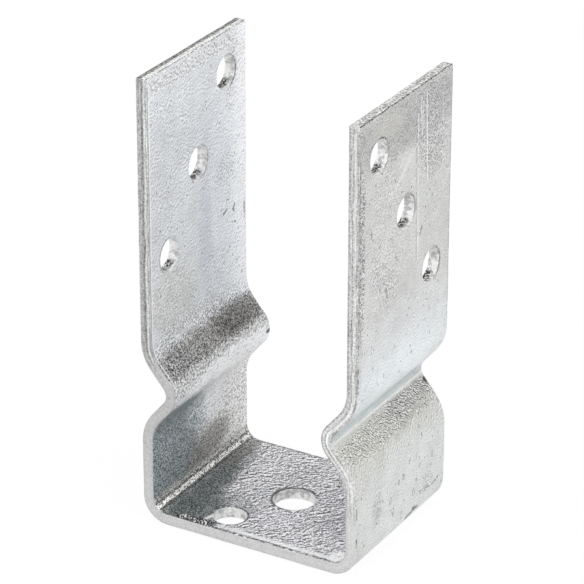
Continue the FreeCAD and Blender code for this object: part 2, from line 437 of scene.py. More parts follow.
    def drop_lumps(self) -> None:
        """Sets the lumps of dross on the base's top, each pressed flat and pulled out of round."""
        edit(self.piece, "VERT")
        for number, lump in enumerate(self.lumps):
            bpy.ops.mesh.select_all(action="DESELECT")
            spot = Vector((lump.along, lump.across, self.sizes.thickness - self.sizes.lump_sink)) * MM
            bpy.ops.mesh.primitive_ico_sphere_add(subdivisions=3, radius=lump.radius * MM, location=spot)
            bpy.ops.transform.vertex_random(offset=self.sizes.lump_rough * lump.radius * MM,
                                            seed=number + 3, normal=0.5)
            bpy.ops.transform.resize(value=self.sizes.lump_shape, center_override=spot)
        bpy.ops.object.mode_set(mode="OBJECT")

    def mark_places(self) -> None:
        """Writes each point's place on the unrolled strip, in millimetres: across, along, depth."""
        runs = self.sizes.route()
        places = self.piece.data.attributes.new(PLACE, "FLOAT_VECTOR", "POINT")
        for vertex, place in zip(self.piece.data.vertices, places.data):
            x, y, z = (c / MM for c in vertex.co)
            along, depth, _ = min((r.place(abs(x), z) for r in runs), key=lambda p: p[2])
            place.vector = (y, math.copysign(along, x), depth)

    def on_lump(self, point: Vector) -> bool:
        """Says whether a point belongs to a lump of dross."""
        across, along, level = point.y / MM, point.x / MM, point.z / MM
        return level > self.sizes.thickness - 1.0 and any(
            math.hypot(across - d.across, along - d.along) < 1.3 * d.radius for d in self.lumps)

    def dress(self, finishes: dict[str, bpy.types.Material]) -> None:
        """Gives every face its finish by where it is.

        Args:
            finishes: the materials by name, in the order of their slots.
        """
        mesh, names = self.piece.data, list(finishes)
        mesh.materials.clear()
        for material in finishes.values():
            mesh.materials.append(material)
        holes, places = self.holes(), mesh.attributes[PLACE].data
        side, top = (self.sizes.width / 2 - EDGE_REACH) * MM, (self.sizes.height - EDGE_REACH) * MM
        for face in mesh.polygons:
            along, depth = (sum(places[i].vector[part] for i in face.vertices) / len(face.vertices)
                            for part in (1, 2))
            centre = face.center
            if len(face.vertices) == 3 and self.on_lump(centre):
                name = "dross"
            elif abs(centre.y) > side and abs(face.normal.y) > CUT_LEAN:
                name = Cut.SHEARED_SIDE.value
            elif centre.z > top and face.normal.z > CUT_LEAN:
                name = Cut.CROPPED_TOP.value
            elif abs(depth) < HOLE_DEPTH and any(h.near(centre, h.radius + RIM_REACH) for h in holes):
                name = "punched_wall"
            else:
                skin = Skin.INNER if depth > 0 else Skin.OUTER
                name = next(z.name for z in Zone if z.value[0] is skin and z.meets(along, 0.0))
            face.material_index = names.index(name)

    def build(self, finishes: dict[str, bpy.types.Material]) -> None:
        """Makes the strip from a flat grid to the dressed piece, which stands for the CAD's node.

        Args:
            finishes: the materials by name.
        """
        self.lay_base()
        for leg in Leg:
            self.raise_leg(leg)
        for hole in self.holes():
            self.open_hole(hole)
        self.thicken()
        self.break_edges()
        self.wear()
        self.drop_lumps()
        self.mark_places()
        self.dress(finishes)
        select_only(self.piece)
        bpy.ops.object.shade_smooth_by_angle(angle=math.radians(self.sizes.smooth_angle))
        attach(self.piece, "root")
        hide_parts("u_bracket")


# Shader trees

class Board:
    """A shader tree, with short ways to add a node and join it."""

    def __init__(self, tree: bpy.types.NodeTree) -> None:
        """Keeps the tree that the nodes go into."""
        self.tree = tree

    def add(self, kind: str, inputs: Optional[dict[Union[str, int], Value]] = None,
            **settings: object) -> bpy.types.Node:
        """Adds a node.

        Args:
            kind: the node's type, without its ShaderNode prefix.
            inputs: values or sockets for its inputs, by name or number.
            settings: its own options.

        Returns:
            The node.
        """
        node = self.tree.nodes.new("ShaderNode" + kind)
        for name, value in settings.items():
            setattr(node, name, value)
        for name, value in (inputs or {}).items():
            self.feed(node.inputs[name], value)
        return node

    def feed(self, socket: Socket, value: Value) -> None:
        """Links a socket to an input, or sets the input's own value."""
        if isinstance(value, bpy.types.NodeSocket):
            self.tree.links.new(value, socket)
        elif socket.type == "RGBA" and len(value) == 3:
            socket.default_value = (*value, 1.0)
        else:
            socket.default_value = value

    def math(self, operation: str, *values: Value, clamp: bool = False) -> Socket:
        """Gives the result of a sum on numbers."""
        return self.add("Math", dict(enumerate(values)), operation=operation, use_clamp=clamp).outputs[0]

    def times(self, first: Value, second: Value) -> Socket:
        """Gives one number times another."""
        return self.math("MULTIPLY", first, second)

    def times_plus(self, first: Value, second: Value, third: Value) -> Socket:
        """Gives one number times another, plus a third."""
        return self.math("MULTIPLY_ADD", first, second, third)

    def minus(self, first: Value, second: Value) -> Socket:
        """Gives one number less another."""
        return self.math("SUBTRACT", first, second)

    def towards(self, share: Value, old: Value, new: Value) -> Socket:
        """Moves a number by a share of the way to a new one."""
        return self.times_plus(share, self.minus(new, old), old)

    def held(self, value: Socket, high: Value = 1.0) -> Socket:
        """Holds a number between -1 and its highest."""
        return self.math("MINIMUM", self.math("MAXIMUM", value, -1.0), high)

    def vector(self, operation: str, *values: Value, number: bool = False) -> Socket:
        """Gives the result of a sum on vectors, or the number that it makes."""
        node = self.add("VectorMath", dict(enumerate(values)), operation=operation)
        return node.outputs["Value" if number else "Vector"]

    def offset(self, place: Socket, centre: Value) -> Socket:
        """Gives a place on the strip from a centre, without its depth."""
        return self.vector("MULTIPLY", self.vector("SUBTRACT", place, centre), FLAT)

    def turned(self, place: Socket, angle: Value) -> Socket:
        """Turns a place on the strip about its depth."""
        node = self.add("VectorRotate", {"Vector": place, "Angle": angle}, rotation_type="Z_AXIS")
        return node.outputs[0]

    def split(self, vector: Socket) -> tuple[Socket, ...]:
        """Gives a vector's three parts."""
        return tuple(self.add("SeparateXYZ", {0: vector}).outputs)

    def join(self, *parts: Value) -> Socket:
        """Makes a vector of three parts."""
        return self.add("CombineXYZ", dict(enumerate(parts))).outputs[0]

    def stretch(self, value: Socket, low: Value, high: Value, out_low: float = 0.0,
                out_high: float = 1.0, smooth: bool = False) -> Socket:
        """Maps a range of values to another, held at its ends."""
        return self.add("MapRange", {0: value, 1: low, 2: high, 3: out_low, 4: out_high},
                        interpolation_type="SMOOTHSTEP" if smooth else "LINEAR", clamp=True).outputs[0]

    def noise(self, where: Socket, size: Value, detail: float = 2.0, rough: float = 0.5) -> Socket:
        """Gives noise with cells of a size in millimetres."""
        scale = self.math("DIVIDE", 1.0, size) if isinstance(size, bpy.types.NodeSocket) else 1.0 / size
        return self.add("TexNoise", {"Vector": where, "Scale": scale, "Detail": detail,
                                     "Roughness": rough}).outputs["Fac"]

    def warp(self, place: Socket, scale: float, detail: float) -> Socket:
        """Gives three noises at once, to bend places with."""
        return self.add("TexNoise", {"Vector": place, "Scale": scale, "Detail": detail}).outputs["Color"]

    def mix(self, factor: Value, first: Value, second: Value, blend: str = "MIX") -> Socket:
        """Mixes two colours."""
        return self.add("Mix", {0: factor, 6: first, 7: second}, data_type="RGBA", blend_type=blend,
                        clamp_factor=True).outputs[2]

    def scaled(self, colour: Socket, light: Value) -> Socket:
        """Makes a colour lighter or darker by a factor."""
        return self.add("VectorMath", {0: colour, "Scale": light}, operation="SCALE").outputs[0]

    def ramp(self, factor: Socket, stops: Bands) -> Socket:
        """Gives the grey of a ramp with stops of place and brightness."""
        node = self.add("ValToRGB", {"Fac": factor})
        band = node.color_ramp
        while len(band.elements) < len(stops):
            band.elements.new(0.5)
        for element, (at, level) in zip(band.elements, stops):
            element.position, element.color = at, (level, level, level, 1.0)
        return node.outputs["Color"]

    def group(self, tree: bpy.types.NodeTree, **inputs: Value) -> bpy.types.Node:
        """Places a shared group with its own values."""
        node = self.tree.nodes.new("ShaderNodeGroup")
        node.node_tree = tree
        for name, value in inputs.items():
            self.feed(node.inputs[name], value)
        return node


def new_group(name: str, inputs: dict[str, Value],
              *outputs: str) -> tuple[Board, list[Socket], Callable[..., bpy.types.NodeTree]]:
    """Starts a shader group with named inputs and value outputs.

    Args:
        name: the group's name.
        inputs: each input's name and its usual value, a number or a vector.
        outputs: the names of the values that it gives.

    Returns:
        Its board, its input sockets in order, and a function that takes the values and gives the tree.
    """
    tree = bpy.data.node_groups.new(name, "ShaderNodeTree")
    for label, usual in inputs.items():
        kind = "NodeSocketVector" if isinstance(usual, tuple) else "NodeSocketFloat"
        tree.interface.new_socket(label, in_out="INPUT", socket_type=kind).default_value = usual
    for label in outputs:
        tree.interface.new_socket(label, in_out="OUTPUT", socket_type="NodeSocketFloat")
    sockets = list(tree.nodes.new("NodeGroupInput").outputs)[:len(inputs)]
    end, board = tree.nodes.new("NodeGroupOutput"), Board(tree)

    def close(*values: Socket) -> bpy.types.NodeTree:
        """Feeds the outputs."""
        for label, value in zip(outputs, values):
            board.feed(end.inputs[label], value)
        return tree

    return board, sockets, close


class ZincEffects:
    """The shader groups that more than one finish uses, each built once."""

    def __init__(self) -> None:
        """Builds every group."""
        self.patch = self.build_patch()
        self.line_mark = self.build_line_mark()
        self.flecks = self.build_flecks()
        self.relief = self.build_relief_painted_light()
        self.pits = self.build_pits()
        self.rim = self.build_rim()

    def build_patch(self) -> bpy.types.NodeTree:
        """A soft or ragged area of the strip: centre, half size, turn and edge."""
        b, (place, centre, half, turn, soft, ragged, square, wobble), close = new_group("zinc_patch", {
            "Place": ORIGIN, "Centre": ORIGIN, "Half": (10, 10, 1), "Turn": 0.0, "Soft": 0.3, "Ragged": 0.3,
            "Square": 2.0, "Wobble": 0.0}, "Mask")
        share = b.vector("DIVIDE", b.turned(b.offset(place, centre), turn), half)
        x, y, _ = b.split(b.vector("ABSOLUTE", share))
        total = b.math("ADD", b.math("POWER", x, square), b.math("POWER", y, square))
        distance = b.math("POWER", total, b.math("DIVIDE", 1.0, square))
        distance = b.times_plus(wobble, ragged, distance)
        low, high = b.minus(1.0, soft), b.math("ADD", 1.0, soft)
        return close(b.stretch(distance, low, high, 1.0, 0.0, smooth=True))

    def build_line_mark(self) -> bpy.types.NodeTree:
        """A thin line between two places on the strip, broken here and there."""
        b, (place, start, end, width, broken, gaps), close = new_group("drawn_line_mark", {
            "Place": ORIGIN, "Start": ORIGIN, "End": (0, 10, 0), "Width": 0.3, "Broken": 0.4, "Gaps": 0.0},
            "Mask")
        reach = b.vector("SUBTRACT", end, start)
        local = b.vector("SUBTRACT", b.vector("MULTIPLY", place, FLAT), start)
        share = b.math("DIVIDE", b.vector("DOT_PRODUCT", local, reach, number=True),
                       b.vector("DOT_PRODUCT", reach, reach, number=True), clamp=True)
        foot = b.scaled(reach, share)
        distance = b.vector("LENGTH", b.vector("SUBTRACT", local, foot), number=True)
        line = b.stretch(distance, b.times(width, 0.5), width, 1.0, 0.0)
        return close(b.times(line, b.minus(1.0, b.times(broken, gaps))))

    def build_flecks(self) -> bpy.types.NodeTree:
        """Small dark and bright grains of rough zinc."""
        b, (place, size, contrast), close = new_group("zinc_flecks", {
            "Place": ORIGIN, "Size": 0.45, "Contrast": 12.0}, "Tone", "Height")
        fine = b.noise(place, size, 1.0)
        coarse = b.noise(place, b.times(size, 2.3), 1.0)
        both = b.times_plus(fine, 0.78, b.times(coarse, 0.22))
        return close(b.held(b.times(b.minus(both, 0.5), contrast)), both)

    def build_relief_painted_light(self) -> bpy.types.NodeTree:
        """Ripples of zinc, drawn along one slope, with painted light on one flank and painted shade on the
        other; the height is real.
        """
        b, (place, size, slope, drawn, contrast, palest), close = new_group("zinc_relief_painted_light", {
            "Place": ORIGIN, "Size": 0.8, "Slope": 0.7, "Drawn": 1.5, "Contrast": 4.0, "Palest": 1.0},
            "Tone", "Height")
        x, y, z = b.split(b.turned(place, slope))
        across = b.math("DIVIDE", x, drawn)
        height = b.noise(b.join(across, y, z), size)
        beyond = b.noise(b.join(across, b.times_plus(size, 0.45, y), z), size)
        return close(b.held(b.times(b.minus(height, beyond), contrast), palest), height)

    def build_pits(self) -> bpy.types.NodeTree:
        """Dark pits in loose clusters, and rare loops where a drop of flux dried."""
        b, (place, spacing, share, radius), close = new_group("zinc_pits", {
            "Place": ORIGIN, "Spacing": 3.0, "Share": 0.3, "Radius": 0.12}, "Mask", "Loop")
        where = b.vector("MULTIPLY_ADD", place, (1.35, 0.8, 1.0),
                         b.vector("MULTIPLY", b.warp(place, 1.1, 2.0), (1.5, 2.0, 1.3)))
        cells = b.add("TexVoronoi", {"Vector": where, "Scale": b.math("DIVIDE", 1.0, spacing)})
        distance = cells.outputs["Distance"]
        near = b.stretch(distance, radius, b.times(radius, 0.45))
        for_pit, for_loop, _ = b.split(cells.outputs["Color"])
        crowd = b.stretch(b.noise(place, 13.0, 1.0), 0.42, 0.62, 0.15, 2.2)
        kept = b.math("LESS_THAN", for_pit, b.times(crowd, share))
        ring = b.stretch(b.math("ABSOLUTE", b.minus(distance, 0.34)), 0.09, 0.03)
        return close(b.times(near, kept), b.times(ring, b.math("LESS_THAN", for_loop, 0.22)))

    def build_rim(self) -> bpy.types.NodeTree:
        """The steel drawn down round a punched hole: how deep, and the part of it on one side, which gets
        painted shade.
        """
        b, (place, centre, radius, reach, side), close = new_group("hole_rim", {
            "Place": ORIGIN, "Centre": ORIGIN, "Radius": 5.5, "Reach": 1.6, "Side": (1, 0, 0)},
            "Mask", "ShadedSide")
        local = b.offset(place, centre)
        beyond = b.minus(b.vector("LENGTH", local, number=True), radius)
        mask = b.stretch(b.math("DIVIDE", beyond, reach), 1.0, 0.0, smooth=True)
        facing = b.vector("DOT_PRODUCT", b.vector("NORMALIZE", local), side, number=True)
        return close(mask, b.times(mask, b.stretch(facing, 0.1, 0.6)))


class ZincBoard(Board):
    """The tree of one zinc material, which reads the strip's own places."""

    def __init__(self, name: str, effects: ZincEffects) -> None:
        """Starts a material.

        Args:
            name: the material's name, without its zinc prefix.
            effects: the shared groups.
        """
        self.material = bpy.data.materials.new("zinc_" + name)
        self.material.use_nodes = True
        super().__init__(self.material.node_tree)
        self.effects = effects
        self.shader = self.tree.nodes["Principled BSDF"]
        self.shader.inputs["Metallic"].default_value = 0.35
        self.place = self.add("Attribute", attribute_name=PLACE).outputs["Vector"]

    def zinc(self, tree: bpy.types.NodeTree, **inputs: Value) -> bpy.types.NodeOutputs:
        """Places a shared group at the strip's places and gives its outputs."""
        return self.group(tree, Place=self.place, **inputs).outputs

    def wobble(self, size: float, detail: float, rough: float) -> Socket:
        """Gives noise about zero, in cells of a size in millimetres."""
        return self.minus(self.noise(self.place, size, detail, rough), 0.5)

    def pitted(self, colour: Socket, amount: float, tone: Colour, **pits: Value) -> Socket:
        """Darkens a colour in its pits."""
        return self.mix(self.times(self.zinc(self.effects.pits, **pits)["Mask"], amount), colour, tone)

    def close(self, colour: Socket, rough: Socket, height: Socket,
              strength: float = 0.8) -> bpy.types.Material:
        """Feeds the shader and gives the material.

        Args:
            colour: the zinc's colour.
            rough: its roughness.
            height: its relief, in millimetres.
            strength: how much of the relief the light shows.

        Returns:
            The material.
        """
        bump = self.add("Bump", {"Strength": strength, "Distance": MM, "Height": height}).outputs[0]
        for name, value in (("Base Color", colour), ("Roughness", rough), ("Normal", bump)):
            self.feed(self.shader.inputs[name], value)
        return self.material


@dataclass(frozen=True)
class Patch:
    """An area of the zinc with a tone and roughness of its own, in strip millimetres; some are painted
    shade or painted highlights.
    """

    across: float
    along: float
    half_across: float
    half_along: float
    tone: Colour
    amount: float = 0.8
    flecks: float = 0.0
    waves: float = 0.0
    turn: float = 0.0
    soft: float = 0.35
    ragged: float = 0.5
    square: float = 2.0

    def meets(self, zone: Zone) -> bool:
        """Says whether the patch can be seen in a zone."""
        turn = math.radians(self.turn)
        half = abs(self.half_along * math.cos(turn)) + abs(self.half_across * math.sin(turn))
        return zone.meets(self.along, half * (1.0 + self.soft + 0.5 * self.ragged) + 1.0)

    def mask(self, b: ZincBoard, wobble: Socket) -> Socket:
        """Gives how much of the patch is at each place."""
        return b.zinc(b.effects.patch, Centre=(self.across, self.along, 0),
                      Half=(self.half_across, self.half_along, 1), Turn=math.radians(self.turn),
                      Soft=self.soft, Ragged=self.ragged, Square=self.square, Wobble=wobble)["Mask"]


@dataclass(frozen=True)
class LineMark:
    """A line drawn on the zinc, light where it is fresh and dark where dirt fills it; some lines are
    painted highlights along edges, and one is a painted shadow.
    """

    start: tuple[float, float]
    end: tuple[float, float]
    width: float
    tone: Colour
    broken: float = 0.4
    amount: float = 0.7

    def meets(self, zone: Zone) -> bool:
        """Says whether the line comes into a zone."""
        low, high = sorted((self.start[1], self.end[1]))
        return zone.meets((low + high) / 2, (high - low) / 2 + 2.0)

    def mask(self, b: ZincBoard, gaps: Socket) -> Socket:
        """Gives how much of the line is at each place."""
        return b.zinc(b.effects.line_mark, Start=(*self.start, 0), End=(*self.end, 0), Width=self.width,
                      Broken=self.broken, Gaps=gaps)["Mask"]


@dataclass(frozen=True)
class Rim:
    """The drawn-down steel round a hole, with a line of painted shade on one side of it."""

    across: float
    along: float
    radius: float
    reach: float = 1.6
    side: tuple[float, float] = (1.0, 0.0)
    # How strong the line of painted shade on the rim's one side is
    dark: float = 0.0

    def meets(self, zone: Zone) -> bool:
        """Says whether the hole is in a zone or near it."""
        return zone.meets(self.along, 12.0)

    def masks(self, b: ZincBoard) -> bpy.types.NodeOutputs:
        """Gives how far the steel is drawn down, as Mask, and the part on the side with painted shade, as
        Sided.
        """
        return b.zinc(b.effects.rim, Centre=(self.across, self.along, 0), Radius=self.radius,
                      Reach=self.reach, Side=(*self.side, 0))


@dataclass(frozen=True)
class SkinFinish:
    """Hot-dip zinc on one broad face of the strip, with painted light and shade in places."""

    tone: Colour
    shade: Colour
    patches: tuple[Patch, ...]
    # Real scratches, and also painted highlight lines and a painted shadow line
    scratches: tuple[LineMark, ...]
    rims: tuple[Rim, ...]
    # How strong the painted light and shade on the fine ripples is
    peel: float = 0.28
    peel_size: float = 0.62
    slope: float = 20.0
    wave_size: float = 1.0
    wave_slope: float = -42.0
    wave_drawn: float = 1.6
    wave_depth: float = 1.0
    # How strong the painted light and shade on the wave ripples is, and how pale it may get
    wave_painted_light: float = 1.0
    wave_painted_light_cap: float = 0.5
    bend: float = 3.0
    pits: float = 0.3
    stains: tuple[Patch, ...] = ()

    def material(self, effects: ZincEffects, zone: Zone) -> bpy.types.Material:
        """Builds the material of one zone of the face.

        Args:
            effects: the shared groups.
            zone: the stretch of the strip that it is for.

        Returns:
            The material.
        """
        b = ZincBoard(zone.name.lower(), effects)
        place = b.place
        clouds = b.stretch(b.noise(place, 22.0, 3.0, 0.55), 0.35, 0.65)
        colour = b.mix(clouds, self.shade, self.tone)
        blots = b.stretch(b.noise(place, 5.0, 3.0, 0.6), 0.3, 0.7, 0.93, 1.06)
        wobble = b.wobble(4.5, 5.0, 0.68)
        gaps = b.stretch(b.noise(place, 1.3, 2.0, 0.6), 0.6, 0.35)
        rough = b.stretch(b.noise(place, 30.0), 0.5, 0.72, 0.05, 0.24)
        waves: Value = 0.0
        for patch in [p for p in self.patches if p.meets(zone)]:
            mask = patch.mask(b, wobble)
            colour = b.mix(b.times(mask, patch.amount), colour, patch.tone)
            rough = b.towards(mask, rough, patch.flecks)
            if patch.waves or not isinstance(waves, float):
                waves = b.towards(mask, waves, patch.waves)
        bend = b.vector("MULTIPLY", b.warp(place, 0.18, 1.0), (self.bend, self.bend, 0))
        bent = b.vector("ADD", place, bend)
        # Two ripple reliefs: their heights feed the bump, and their tones are painted light and shade on
        # the ripples' flanks
        peel = b.group(effects.relief, Place=bent, Size=self.peel_size, Slope=math.radians(self.slope),
                       Drawn=1.35, Contrast=5.0).outputs
        swell = b.group(effects.relief, Place=bent, Size=self.wave_size,
                        Slope=math.radians(self.wave_slope), Drawn=self.wave_drawn, Contrast=7.0,
                        Palest=self.wave_painted_light_cap).outputs
        flecks = b.zinc(effects.flecks)
        # Brightness: painted light and shade of the fine ripples, the grains' own tone, then painted light
        # and shade of the wave ripples
        light = b.times_plus(peel["Tone"], self.peel, 1.0)
        light = b.times_plus(b.times(flecks["Tone"], rough), 1.15, light)
        light = b.times_plus(b.times(swell["Tone"], waves), self.wave_painted_light, light)
        colour = b.scaled(colour, b.math("MAXIMUM", b.times(light, blots), 0.10))
        dish: Value = 0.0
        for rim in [r for r in self.rims if r.meets(zone)]:
            masks = rim.masks(b)
            dish = b.math("ADD", masks["Mask"], dish)
            # Painted shade: a broken dark line along one side of the hole's rim
            if rim.dark:
                line = b.times(masks["ShadedSide"], b.times_plus(gaps, -0.5, rim.dark))
                colour = b.mix(line, colour, grey(0.05))
        for line_mark in [s for s in self.scratches if s.meets(zone)]:
            colour = b.mix(b.times(line_mark.mask(b, gaps), line_mark.amount), colour, line_mark.tone)
        colour = b.pitted(colour, 0.8, (0.09, 0.09, 0.08), Spacing=2.4, Share=self.pits, Radius=0.20)
        for stain in [s for s in self.stains if s.meets(zone)]:
            loops = b.zinc(effects.pits, Spacing=3.4, Share=0.0, Radius=0.1)["Loop"]
            colour = b.mix(b.times(b.times(loops, stain.mask(b, wobble)), stain.amount), colour, stain.tone)
        height = b.times(peel["Height"], 0.30)
        height = b.times_plus(b.times(flecks["Height"], rough), 0.45, height)
        height = b.times_plus(b.times(swell["Height"], waves), self.wave_depth, height)
        height = b.times_plus(b.noise(place, 7.0), 0.25, height)
        height = b.times_plus(dish, -0.16, height)
        return b.close(colour, b.stretch(b.noise(place, 3.0), 0.3, 0.7, 0.34, 0.50), height)


@dataclass(frozen=True)
class CutFinish:
    """Zinc over a cut edge, with lines that run along the cut, as bands of depth and brightness."""

    cut: Cut
    left_bands: Bands
    right_bands: Bands
    base_bands: Bands = ((0.0, 0.60), (0.5, 0.66), (0.9, 0.60), (1.0, 0.50))
    tint: Colour = (1.0, 1.0, 0.985)
    streak: float = 0.26
    grit: float = 0.50
    grain: float = 0.60
    lengthwise: Bands = ((0.22, 0.88), (0.30, 0.72), (0.42, 0.86), (0.58, 0.87), (0.66, 1.0), (0.72, 1.0),
                         (0.78, 0.90))

    def material(self, effects: ZincEffects) -> bpy.types.Material:
        """Builds the edge's material.

        Args:
            effects: the shared groups.

        Returns:
            The material.
        """
        b = ZincBoard(self.cut.value, effects)
        across, along, depth = b.split(b.place)
        run = along if self.cut is Cut.SHEARED_SIDE else across
        level = b.stretch(b.times_plus(b.wobble(9.0, 3.0, 0.6), 1.4, depth), -2.0, 2.0)
        right = b.stretch(along, -5.0, 5.0)
        # The legs' bands start above the crimp, and higher on the left leg than on the right one
        height_up = b.times_plus(right, 38.0, b.math("ABSOLUTE", along))
        on_leg = b.stretch(height_up, 84.0, 104.0, smooth=True)
        legs = b.mix(right, b.ramp(level, self.left_bands), b.ramp(level, self.right_bands))
        bands = b.mix(on_leg, b.ramp(level, self.base_bands), legs)
        bands = b.scaled(bands, b.times(1.12, b.ramp(b.stretch(along, -200.0, 200.0), self.lengthwise)))
        lines = b.join(b.times(run, 0.10), b.times(depth, 1.5), b.math("SIGN", along))
        streak = b.stretch(b.noise(lines, 1.0, 2.0, 0.55), 0.32, 0.68, -1.0, 1.0)
        streak = b.times(streak, b.stretch(on_leg, 0.0, 1.0, 0.2, 1.0))
        flecks = b.zinc(effects.flecks, Size=self.grain)
        grit = b.times(flecks["Tone"], b.minus(1.05, bands))
        grit = b.times(grit, b.stretch(on_leg, 0.0, 1.0, 0.35, 1.0))
        light = b.times_plus(grit, self.grit, b.times_plus(streak, self.streak, 1.0))
        colour = b.scaled(b.mix(1.0, bands, self.tint, "MULTIPLY"), b.math("MAXIMUM", light, 0.1))
        colour = b.pitted(colour, 0.75, (0.10, 0.10, 0.09), Spacing=2.0, Share=0.3, Radius=0.14)
        height = b.times_plus(streak, 0.12, b.times(flecks["Height"], 0.22))
        return b.close(colour, b.stretch(streak, -1.0, 1.0, 0.36, 0.52), height)


@dataclass(frozen=True)
class PunchedFinish:
    """The wall of a punched hole: bright where the punch sheared it, dark where zinc gathered."""

    holes: list[Hole]
    tone: Colour = (0.90, 0.90, 0.89)

    def material(self, effects: ZincEffects) -> bpy.types.Material:
        """Builds the wall's material, with a dark patch at the foot of each hole in the legs.

        Args:
            effects: the shared groups.

        Returns:
            The material.
        """
        b = ZincBoard("punched_wall", effects)
        flecks = b.zinc(effects.flecks, Size=0.7)
        wobble = b.wobble(2.5, 3.0, 0.65)
        torn = b.stretch(b.noise(b.place, 2.2, 3.0, 0.6), 0.48, 0.60)
        _, along, depth = b.split(b.place)
        deep = b.times(depth, b.math("SIGN", along))
        deep = b.stretch(b.times_plus(wobble, 3.0, deep), -1.3, -0.1)
        colour = b.mix(torn, self.tone, tuple(0.58 * c for c in self.tone))
        colour = b.scaled(colour, b.times_plus(flecks["Tone"], 0.08, 1.0))
        for hole in [h for h in self.holes if not h.flat]:
            foot = Patch(hole.y + 0.8, math.copysign(hole.z + LEG_OFFSET - 4.7, hole.x), 3.3, 2.2,
                         grey(0.02), soft=0.2, ragged=1.0)
            spots = b.stretch(flecks["Tone"], 0.0, 0.9, 1.0, 0.2)
            colour = b.mix(b.times(b.times(foot.mask(b, wobble), deep), spots), colour, foot.tone)
        rough = b.stretch(flecks["Height"], 0.3, 0.7, 0.34, 0.50)
        return b.close(colour, rough, b.times(flecks["Height"], 0.3), 0.7)


@dataclass(frozen=True)
class DrossFinish:
    """Dross: near black, with bright bits of zinc in it."""

    dark: Colour = (0.035, 0.035, 0.032)
    bright: Colour = (0.80, 0.80, 0.79)

    def material(self, effects: ZincEffects) -> bpy.types.Material:
        """Builds the dross material from the shared groups."""
        b = ZincBoard("dross", effects)
        flecks = b.zinc(effects.flecks, Size=0.75)
        colour = b.mix(b.stretch(flecks["Tone"], 0.45, 0.8), self.dark, self.bright)
        rough = b.stretch(flecks["Height"], 0.3, 0.7, 0.3, 0.6)
        return b.close(colour, rough, b.times(flecks["Height"], 0.8))


# Where the zinc is light, dark, smooth or rough, and where light and shade are painted on it

def grey(level: float, warm: float = 0.0) -> Colour:
    """Gives a grey, warmer above zero and cooler below."""
    return (level * (1 + warm), level * (1 + 0.3 * warm), level * (1 - warm))


def band(along: float, half: float, tone: Colour, *amounts: float, square: float = 4.0,
         **edge: float) -> Patch:
    """Gives a patch that runs right across the strip."""
    return Patch(0, along, PAST_EDGES, half, tone, *amounts, square=square, **edge)


